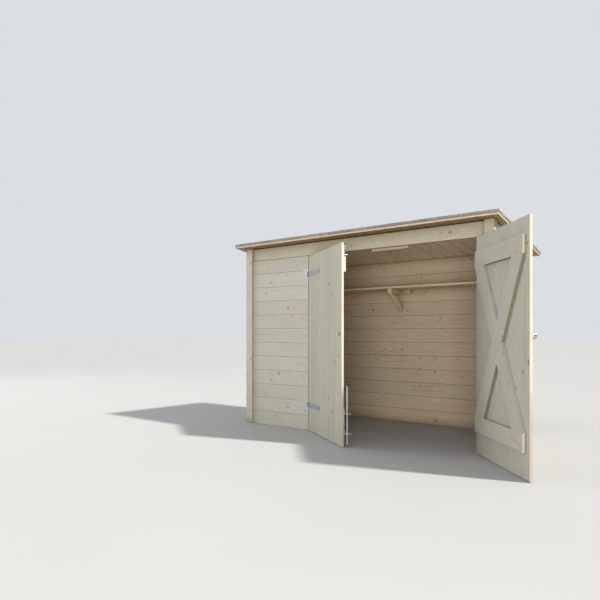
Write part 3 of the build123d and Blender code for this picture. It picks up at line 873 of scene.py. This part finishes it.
class STORE_OT_corner_boards(bpy.types.Operator):
    """Stand the eight corner boards and cut them off under the roof"""

    bl_idname = "store.corner_boards"
    bl_label = "Corner boards"

    def execute(self, context):
        sizes, tints = chosen(context)
        cool = outside_wood(tints, "corner board wood", CORNER_KNOTS, level=1.02)
        # Partly painted shade: the right corner boards take a warmer copy of the wood for the shade on that
        # side; the streaks are grain
        shades = (tints.warm, tints.late, tints.joint)
        warm = timber("warm shaded corner board wood", shades, (), 0.1, bands=1.6, streak=0.9)
        edge = sawn("corner board edge", tints.trim_edge, hollow=None)
        rows = ("front_trim", "front_side_trim", "back_trim", "back_side_trim")
        gap, cut_reach, first_seed = 3 * MM, 20 * MM, 40
        for number, node in enumerate(f"{row}_{side}" for row in rows for side in HANDS):
            low, high = STORE.extent(node)

            def cut(points, top=high[2]):
                near = points[:, 2] > top - cut_reach
                over = points[:, 2] - top
                z = np.where(near, soffit(points[:, 1], sizes) + over - gap, points[:, 2])
                return np.stack([points[:, 0], points[:, 1], z], -1)

            facing = high[0] - low[0] > high[1] - low[1]
            faces = [(FAR_FACE, 1), (NEAR_FACE, 1)] if facing else []
            work = Joinery(STORE, first_seed + number)
            work.bar(low, high, Z, X, Y, sizes.arris, sizes.arris, X if facing else Y, faces, bend=cut)
            finishes = [warm if "right" in node else cool, edge]
            work.finish(node.replace("trim", "corner_board"), "trim_boards", finishes, node)
        return {"FINISHED"}


class STORE_OT_roof_boards(bpy.types.Operator):
    """Lay the roof boards from front to back"""

    bl_idname = "store.roof_boards"
    bl_label = "Roof boards"

    def execute(self, context):
        sizes, tints = chosen(context)
        roof = roof_place(sizes)
        low, high = roof.extent("roof_deck")
        cover, narrowest = sizes.roof_cover, 5 * MM
        first = sizes.roof_joint - math.floor((sizes.roof_joint - low[0]) / cover) * cover
        lines = np.arange(first, high[0], cover)
        lines = np.concatenate([[low[0]], lines[lines > low[0] + narrowest], [high[0]]])
        gap, slot, back_ease = 0.5 * MM, 5 * MM, 0.5 * MM
        work = Joinery(roof, 51)
        work.boards(lines, low, high, Y, X, Z, (sizes.roof_ease, gap, slot, back_ease))
        front, back = STORE.extent("front_wall_left")[0], STORE.extent("back_wall")[1]
        # Painted shade: the roof boards' underside darkened outside the walls, under the overhang
        stain = (back[0], front[1], back[1], tints.eaves_shade)
        # Painted light: the level lifts the roof boards' underside above their own colour
        under = inside_wood(tints, "roof boards", level=1.22, contrast=0.5, stain=stain)
        ends = sawn("roof board ends", tints.end, hollow=None)
        work.finish("roof_planks", "roof_boards", [under, ends], "roof_deck")
        dress("roof_edge_battens", inside_wood(tints, "roof batten wood", cad=True))
        return {"FINISHED"}


def felt_points(low, high, field):
    """Rings of the felt: the edge's section carried round the roof, then level rings up to its middle.

    A ring is a rectangle with rounded corners. Past the edge a ripple is added, the mean of six
    products of a sine along the roof and one down it.
    """
    heights = np.array(FELT_HEIGHTS) * MM
    heights = low[2] + heights * (high[2] - low[2]) / heights.max()
    heights[-1] = field
    first_level, from_middle, levels = 110 * MM, 12 * MM, 9
    inner = np.linspace(first_level, (high[1] - low[1]) / 2 - from_middle, levels)
    insets = np.append(np.array(FELT_INSETS) * MM, inner)
    heights = np.append(heights, np.full(len(inner), field))
    widest, narrowest, loss = 6 * MM, 1 * MM, 0.1
    radius = np.clip(widest - insets * loss, narrowest, None)[:, None]
    half = (high[:2] - low[:2] - 2 * insets[:, None]) / 2 - radius
    corner_points, points_along, points_down = 5, 96, 46
    turns = []
    for number, signs in enumerate(((1, 1), (-1, 1), (-1, -1), (1, -1))):
        turn = np.linspace(0, math.pi / 2, corner_points) + number * math.pi / 2
        arc = np.stack([np.cos(turn), np.sin(turn)], -1)
        turns.append((half * signs)[:, None] + radius[:, None] * arc)
    runs = [np.linspace(0, 1, count)[1:-1, None] for count in (points_along, points_down)] * 2
    pieces = []
    for number, share in enumerate(runs):
        start, end = turns[number][:, -1:], turns[(number + 1) % 4][:, :1]
        pieces += [turns[number], start * (1 - share) + end * share]
    flat = np.concatenate(pieces, 1)
    lengths = (0.31, 0.47, 0.83, 0.22, 0.61, 1.3)
    shifts = np.random.default_rng(61).uniform(0, 2 * math.pi, (len(lengths), 2))
    along, down = 2 * math.pi * flat[..., 0], 2 * math.pi * flat[..., 1]
    ripple = sum(
        np.sin(along / size + one) * np.sin(down / (size * 1.3) + other)
        for size, (one, other) in zip(lengths, shifts)
    ) / len(lengths)
    still, swell, sunk, rim_swell = 3 * MM, 1.3 * MM, 0.9 * MM, 0.6 * MM
    away = insets[:, None] > still
    z = heights[:, None] + ripple * swell * away - sunk * away
    z[0] += (ripple[0] + 1) * rim_swell
    return np.dstack([flat + (low[:2] + high[:2]) / 2, z])


def lap_points(low, high, field):
    """Rings of the upper sheet's lower edge, lapped over the rear one: a section along a wavy seam."""
    inset, behind_middle, points_along = 60 * MM, 90 * MM, 60
    seam = np.linspace(low[0] + inset, high[0] - inset, points_along)
    wave = 2 * MM * np.sin(seam * 9.0) + 1 * MM * np.sin(seam * 31.0)
    lap = (low[1] + high[1]) / 2 + behind_middle + wave
    section = np.array([(-0.09, 0.2), (-0.05, 1.6), (-0.004, 2.9), (0.0, 2.2), (0.0, -1.2), (-0.09, -1.2)])
    heights = field + section[:, 1] * MM
    return np.stack(np.broadcast_arrays(seam[:, None], lap[:, None] + section[:, 0], heights), -1)


class STORE_OT_felt(bpy.types.Operator):
    """Dress the felt over the roof and its edge battens"""

    bl_idname = "store.felt"
    bl_label = "Roof felt"

    def execute(self, context):
        sizes, tints = chosen(context)
        roof = roof_place(sizes)
        low, high = roof.extent("roof_felt")
        bedding, felt_thick = 4 * MM, 2.6 * MM
        field = roof.extent("roof_deck")[1][2] + bedding
        finish = mineral_felt("mineral felt", tints.felt)
        rings = felt_points(low, high, field)
        points = rings.reshape(-1, 3)
        quads, caps = shell_faces(points, len(rings))
        mesh = new_mesh("roof_felt_sheet", roof.to_store(points), [*quads.tolist(), caps[1].tolist()])
        mesh.polygons.foreach_set("use_smooth", [True] * len(mesh.polygons))
        sheet = show(mesh, "roof_felt_sheet", "shelter", "roof_felt", [finish], "roof_felt")
        wall = sheet.modifiers.new("thickness", "SOLIDIFY")
        wall.thickness = felt_thick
        wall.offset = -1
        rings = lap_points(low, high, field)
        points = rings.reshape(-1, 3)
        quads, caps = shell_faces(points, len(rings))
        faces = quads.tolist() + [cap.tolist() for cap in caps]
        mesh = new_mesh("roof_felt_lap", roof.to_store(points), faces)
        show(mesh, "roof_felt_lap", "shelter", "roof_felt", [finish])
        step, inset, sunk = 100 * MM, 18 * MM, 0.9 * MM
        level = high[2] - sunk
        x_run = np.arange(low[0] + 50 * MM, high[0] - 40 * MM, step)
        y_run = np.arange(low[1] + 110 * MM, high[1] - 80 * MM, step)
        spots = [(x, y, level) for x in x_run for y in (low[1] + inset, high[1] - inset)]
        spots += [(x, y, level) for y in y_run for x in (low[0] + inset, high[0] - inset)]
        clout = zinc("clout zinc", tints.zinc, 0.8, 0.5)
        heads("felt_clouts", clout, roof, spots, (0, 1e-4, 1), 4.5 * MM, 0.8 * MM, nail=True)
        return {"FINISHED"}


class STORE_OT_shelf(bpy.types.Operator):
    """Fit the shelf, its cleats, arm and brace, and the stop batten"""

    bl_idname = "store.shelf"
    bl_label = "Shelf"

    def execute(self, context):
        sizes, tints = chosen(context)
        # Partly painted light: the level lifts the shelf above its own colour
        wood = inside_wood(tints, "shelf wood", level=1.17)
        ease, first_seed = sizes.arris, 70

        def planed(work, node):
            work.finish(f"{node}_planed", "inside_timber", [wood], node)

        runs = (("shelf_board", X, Y), ("shelf_wall_cleat", X, Y), ("shelf_arm", Y, X))
        for number, (node, path, across) in enumerate(runs):
            work = Joinery(STORE, first_seed + number)
            work.bar(*STORE.extent(node), path, across, Z, ease, ease)
            planed(work, node)
        low, high = STORE.extent("shelf_end_cleats")
        cleat_thick = 22 * MM
        work = Joinery(STORE, 75)
        for left in (low[0], high[0] - cleat_thick):
            near, far = (left, *low[1:]), (left + cleat_thick, *high[1:])
            work.bar(np.array(near), np.array(far), Y, X, Z, ease, ease, Z)
        planed(work, "shelf_end_cleats")
        corners = STORE.corners_of("shelf_brace")
        outline = around(corners[:, 1:])
        work = Joinery(STORE, 76)
        rings = carried(outline, (corners[:, 0].min(), corners[:, 0].max()), (0, 0, 0), X, Y, Z, ease)
        work.add(rings, (0, *longest_edge(outline)), X)
        planed(work, "shelf_brace")
        dress("stop_batten", inside_wood(tints, "stop batten wood", cad=True))
        return {"FINISHED"}


def leaf_knots(side, sizes, spots, through, squeeze):
    """Knots of a leaf as timber reads them, at some depth through the leaf."""
    place = leaf_place(side, sizes)
    return [(*place.to_store((HANDS[side] * s, through, z)), r * MM, squeeze) for s, z, r in spots[side]]


class STORE_OT_leaves(bpy.types.Operator):
    """Set the upright boards of the two leaves"""

    bl_idname = "store.leaves"
    bl_label = "Leaf boards"

    def execute(self, context):
        sizes, tints = chosen(context)
        gap, slot = 0.35 * MM, 3 * MM
        joint = (sizes.leaf_ease, gap, slot, sizes.leaf_ease)
        looks = {"contrast": 0.6, "ring": 0.014, "bold": 0.5, "streak": 1.1, "hollow": None}
        # Painted shadow: the leaves' upright edges darkened towards the foot
        painted_foot_shadow = (0.3, 0.7, (0.68, 0.68, 0.66))
        for side, seen_depth, seed, bands in (("left", 6 * MM, 81, 1.6), ("right", 22 * MM, 82, 0.9)):
            place = leaf_place(side, sizes)
            node = f"{side}_door_boards"
            low, high = place.extent(node)
            knots = leaf_knots(side, sizes, LEAF_KNOTS, seen_depth, 0.75)
            wood = leaf_wood(tints, f"{side} leaf wood", knots, bands=bands, **looks)
            work = Joinery(place, seed)
            lines = np.linspace(low[0], high[0], sizes.leaf_boards + 1)
            work.boards(lines, low, high, Z, X, Y, joint, strength=0.3)
            edge = sawn(f"{side} leaf edge", tints.end, hollow=None, foot_shadow=painted_foot_shadow)
            work.finish(f"{side}_leaf_planks", "door_boards", [wood, edge], node)
        return {"FINISHED"}


def beside(corners):
    """Corners of two braces that lie on either side of a third one, told apart by height at one end.

    The line through the middle of all corners that best parts them runs along the third brace: of the
    two diagonals of the corners' box, it is the one that no corner lies near.
    """
    low, high = box(corners)
    share = (corners - low)[:, [0, 2]] / (high - low)[[0, 2]]
    rising = share[:, 1] - share[:, 0]
    falling = share[:, 0] + share[:, 1] - 1
    gap = rising if np.abs(rising).min() > np.abs(falling).min() else falling
    return [corners[gap < 0], corners[gap > 0]]


class STORE_OT_ledges(bpy.types.Operator):
    """Fix the ledges, braces and foot block on the leaves"""

    bl_idname = "store.ledges"
    bl_label = "Ledges and braces"

    def brace(self, work, corners, root, outward):
        """One brace: the outline of its corners carried away from the leaf, its outer edges broken.

        Its long edges have kind 3 where they look up and kind 2 where they look down: painted light on the
        upper edges, painted shade on the lower ones.
        """
        outline = around(corners[:, [0, 2]])
        edges = np.roll(outline, -1, 0) - outline
        looks_up = edges[:, 0] * math.copysign(1, turning(outline)) < 0
        kinds = np.where(looks_up, 3, 2)
        along = longest_edge(outline)
        along = np.array([along[0], 0, along[1]])
        ease = 0.6 * MM
        outer = corners[:, 1].max() + outward
        flats = np.stack([outline, outline, drawn_in(outline, ease)])
        depths = np.array([root, outer - ease, outer])[:, None, None]
        rings = flats[..., :1] * X + flats[..., 1:] * Z + depths * Y
        work.add(rings, along, np.cross(Y, along), side_kinds=np.stack([kinds, np.zeros(len(kinds), int)]))

    def execute(self, context):
        sizes, tints = chosen(context)
        ease = sizes.ledge_arris
        # Painted shade: the ledges' top faces take the dark edge tint and their undersides a dark brown
        faces = [(FAR_FACE, 2), (NEAR_FACE, 4)]
        for side in HANDS:
            right = side == "right"
            place = leaf_place(side, sizes)
            knots = leaf_knots(side, sizes, LEDGE_KNOTS, 36 * MM, 0.8)
            # Painted light and shade: brace edges lighter where they look up, darker where they look down
            finishes = [
                leaf_wood(tints, f"{side} ledge wood", knots, stray=0.25, contrast=0.6, hollow=None),
                sawn(f"{side} ledge end", tints.end, hollow=None, inner=tints.inner_end_shadow),
                sawn(f"{side} ledge edge", tints.edge, hollow=None),
                sawn(f"{side} brace lit upper edge", tints.lit_upper_edge, hollow=None),
                sawn(f"{side} ledge underside", tints.underside),
            ]
            ledges = place.corners_of(f"{side}_door_ledges")
            (free_end, root, _), (pin_end, _, _) = box(ledges)
            work = Joinery(place, 91)
            lower, upper = (box(part) for part in halves(ledges))
            for low, high in (lower, upper):
                low[1] = root
                if right:
                    low[0] -= sizes.right_reach
                    high[1] += sizes.ledge_growth
            if not right:
                upper[1][:2] += (sizes.left_reach, sizes.left_growth)
            for low, high in (lower, upper):
                work.bar(low, high, X, Z, Y, ease, ease, faces=faces, inner=right, end_kind=1)
            work.finish(f"{side}_leaf_ledges", "door_ledges", finishes, f"{side}_door_ledges")
            squeeze = 1 + sizes.right_reach / (pin_end - free_end)
            outward = sizes.ledge_growth if right else 0.0
            for kind, seed in (("long_brace", 95), ("short_braces", 97)):
                corners = place.corners_of(f"{side}_door_{kind}")
                work = Joinery(place, seed)
                for part in [corners] if kind == "long_brace" else beside(corners):
                    if right:
                        part[:, 0] = pin_end + (part[:, 0] - pin_end) * squeeze
                    self.brace(work, part, root, outward)
                work.finish(f"{side}_leaf_{kind}", "door_ledges", finishes, f"{side}_door_{kind}")
        place = leaf_place("left", sizes)
        work = Joinery(place, 99)
        work.bar(*place.extent("left_door_foot_block"), Z, X, Y, ease, ease)
        block = leaf_wood(tints, "foot block wood")
        work.finish("left_leaf_foot_block", "door_ledges", [block], "left_door_foot_block")
        return {"FINISHED"}


class STORE_OT_ironmongery(bpy.types.Operator):
    """Finish the hinges, bolts and knobs, and put in their screws"""

    bl_idname = "store.ironmongery"
    bl_label = "Ironmongery"

    def execute(self, context):
        sizes, tints = chosen(context)
        grey = np.array(tints.zinc)
        plate = zinc("hinge plate zinc", grey, 0.55, 0.5)
        strap = zinc("hinge strap zinc", grey * 0.46, 0.25, 0.6)
        bolt = zinc("bolt zinc", grey * 1.1, 0.7, 0.4)
        screw = zinc("screw zinc", grey * 0.5, 0.85, 0.4)
        nail = zinc("nail zinc", grey * 0.8, 0.6, 0.5)
        knob = satin("knob satin", tints.satin)
        for node in ("head_bolt_plate", "head_bolt_rod", "drop_bolt_guides", "drop_bolt_rod"):
            dress(node, bolt)
        plate_thick = 3 * MM
        hinge_screw = (3.6 * MM, 1.0 * MM)
        for side, hand in HANDS.items():
            dress(f"{side}_hinge_plates", plate)
            dress(f"{side}_hinge_straps", strap)
            dress(f"{side}_door_knob", knob)
            place = leaf_place(side, sizes)
            low, high = STORE.extent(f"{side}_hinge_plates")
            pin = place.corner[0]
            wide = abs((low if side == "left" else high)[0] - pin)
            straps = place.corners_of(f"{side}_hinge_straps")
            centres = [(part[:, 2].min() + part[:, 2].max()) / 2 for part in halves(straps)]
            columns = (0.36, 0.74) if side == "left" else (0.62,)
            spots = [
                (pin - hand * wide * share, FACE - plate_thick, height + rise * MM)
                for height in centres
                for share in columns
                for rise in ((-34, 0, 34) if share == columns[-1] else (-17, 17))
            ]
            heads(f"{side}_hinge_plate_screws", screw, STORE, spots, -Y, *hinge_screw)
            reach = hand * np.abs(straps[:, 0]).max()
            spots = [(reach * share, plate_thick, z) for z in centres for share in (0.16, 0.42, 0.68, 0.93)]
            heads(f"{side}_hinge_strap_screws", screw, place, spots, -Y, *hinge_screw)
        place = leaf_place("left", sizes)
        low, high = place.extent("head_bolt_plate")
        face = low[1] + plate_thick
        side_inset, end_inset, second = 5.5 * MM, 8 * MM, 30 * MM
        across = (low[0] + side_inset, high[0] - side_inset)
        upright = (low[2] + end_inset, high[2] - second, high[2] - end_inset)
        spots = [(x, face, z) for x in across for z in upright]
        heads("head_bolt_screws", screw, place, spots, Y, 2.6 * MM, 0.8 * MM)
        low, high = place.extent("drop_bolt_guides")
        face = low[1] + 4 * MM
        low_inset, high_inset, half_apart = 21 * MM, 13 * MM, 8 * MM
        middle = (low[0] + high[0]) / 2
        upright = (low[2] + low_inset, high[2] - high_inset)
        spots = [(middle + x, face, z) for z in upright for x in (-half_apart, half_apart)]
        heads("guide_screws", screw, place, spots, Y, 3.0 * MM, 0.9 * MM)
        for side in HANDS:
            place = leaf_place(side, sizes)
            low, high = place.extent(f"{side}_door_boards")
            ledges = place.corners_of(f"{side}_door_ledges")
            face = ledges[:, 1].max()
            width = (high[0] - low[0]) / sizes.leaf_boards
            middles = low[0] + (np.arange(sizes.leaf_boards) + 0.5) * width
            apart, inset = 0.2 * width, 26 * MM
            spots = []
            for foot, top in (box(part[:, 2]) for part in halves(ledges)):
                for x in middles:
                    spots += [(x - apart, face, foot + inset), (x + apart, face, top - inset)]
            heads(f"{side}_ledge_nails", nail, place, spots, Y, 2.0 * MM, 0.4 * MM, nail=True)
        return {"FINISHED"}


class STORE_OT_stage(bpy.types.Operator):
    """Set the floor, the studio light and the camera"""

    bl_idname = "store.stage"
    bl_label = "Stage"

    def execute(self, context):
        scene = context.scene
        light = scene.store_light
        reach, count = 60.0, 13
        line = np.linspace(-reach, reach, count)
        grid = np.stack(np.meshgrid(line, line, [-0.5 * MM], indexing="ij"), -1)
        index = np.arange(count**2).reshape(count, count)
        quads = np.stack([index[:-1, :-1], index[1:, :-1], index[1:, 1:], index[:-1, 1:]], -1).reshape(-1, 4)
        mesh = new_mesh("studio_floor", grid.reshape(-1, 3), quads.tolist())
        mesh.materials.append(pale_floor("studio floor", scene.store_colours.floor))
        floor = bpy.data.objects.new("studio_floor", mesh)
        scene.collection.objects.link(floor)
        scene.world = studio(light, scene.store_colours.sky)
        level, bearing = math.cos(light.key_height), light.key_bearing
        towards = (level * math.cos(bearing), level * math.sin(bearing), math.sin(light.key_height))
        key = lamp(scene, "key_light", "SUN", light.key, (1.0, 0.965, 0.9), (0, 0, 0), towards)
        key.angle = light.key_softness
        for name, power, place, wide, high, aim in (
            ("front_fill", light.fill, (3.0, -6.6, 0.65), 2.8, 0.9, (0.2, -0.8, 0.9)),
            ("side_fill", light.side_fill, (-12.9, -5.0, 4.7), 4.2, 4.2, (0.2, -0.8, 0.8)),
        ):
            softbox = lamp(scene, name, "AREA", power, (1.0, 0.98, 0.95), place, Vector(place) - Vector(aim))
            softbox.spread = light.beam
            softbox.shape = "RECTANGLE"
            softbox.size = wide
            softbox.size_y = high
        camera = bpy.data.objects.new("camera", bpy.data.cameras.new("camera"))
        camera.location = (2.2188, -4.5607, 0.8217)
        camera.rotation_euler = (math.radians(90), 0, math.radians(36.815))
        camera.data.sensor_width = 36
        camera.data.lens = 31.76
        camera.data.shift_y = 0.0563
        scene.collection.objects.link(camera)
        scene.camera = camera
        scene.view_settings.view_transform = "Standard"
        return {"FINISHED"}


def studio(light, sky):
    """Even light from all round, brighter overhead, with a dark screen low on the right.

    The camera sees a plain backdrop instead.
    """
    world = bpy.data.worlds.new("studio")
    world.use_nodes = True
    nodes = Nodes(world.node_tree)
    background = world.node_tree.nodes["Background"]
    nodes.put(background.inputs["Color"], sky)
    towards = nodes.node("SeparateXYZ", {0: nodes.node("TexCoord").outputs["Generated"]}).outputs
    hidden = nodes.math("MULTIPLY", nodes.spread(towards[0], 0.1, 0.6), nodes.spread(towards[2], 0.75, 0.35))
    even = nodes.math("MULTIPLY_ADD", hidden, -light.screen * light.all_round, light.all_round)
    lit = nodes.math("MULTIPLY_ADD", nodes.spread(towards[2], 0.3, 0.85), light.overhead, even)
    camera = nodes.node("LightPath").outputs["Is Camera Ray"]
    gap = nodes.math("SUBTRACT", light.backdrop, lit)
    nodes.put(background.inputs["Strength"], nodes.math("MULTIPLY_ADD", camera, gap, lit))
    return world


def lamp(scene, name, kind, strength, tint, place, towards):
    """Light at a place, shining away from the direction given."""
    made = bpy.data.objects.new(name, bpy.data.lights.new(name, kind))
    made.data.energy = strength
    made.data.color = tint
    made.location = place
    made.rotation_euler = Vector(towards).to_track_quat("Z", "Y").to_euler()
    scene.collection.objects.link(made)
    return made.data


OPERATORS = (
    STORE_OT_walls,
    STORE_OT_corner_boards,
    STORE_OT_roof_boards,
    STORE_OT_felt,
    STORE_OT_shelf,
    STORE_OT_leaves,
    STORE_OT_ledges,
    STORE_OT_ironmongery,
    STORE_OT_stage,
)
GROUPS = {"store_sizes": StoreSizes, "store_colours": StoreColours, "store_light": StoreLight}


class STORE_PT_panel(bpy.types.Panel):
    """Lists the store's groups of pieces and what may be changed"""

    bl_idname = "STORE_PT_panel"
    bl_label = "Bike store"
    bl_space_type = "VIEW_3D"
    bl_region_type = "UI"
    bl_category = "Bike store"

    def draw(self, context):
        for operator in OPERATORS:
            self.layout.operator(operator.bl_idname)
        for name, group in GROUPS.items():
            column = self.layout.box()
            for key in group.__annotations__:
                column.prop(getattr(context.scene, name), key)


def register():
    for name, group in GROUPS.items():
        bpy.utils.register_class(group)
        setattr(bpy.types.Scene, name, bpy.props.PointerProperty(type=group))
    for made in (*OPERATORS, STORE_PT_panel):
        bpy.utils.register_class(made)


def unregister():
    for made in (STORE_PT_panel, *reversed(OPERATORS)):
        bpy.utils.unregister_class(made)
    for name, group in GROUPS.items():
        delattr(bpy.types.Scene, name)
        bpy.utils.unregister_class(group)


def main():
    register()
    bpy.ops.store.walls()
    bpy.ops.store.corner_boards()
    bpy.ops.store.roof_boards()
    bpy.ops.store.felt()
    bpy.ops.store.shelf()
    bpy.ops.store.leaves()
    bpy.ops.store.ledges()
    bpy.ops.store.ironmongery()
    bpy.ops.store.stage()


if __name__ == "__main__":
    main()
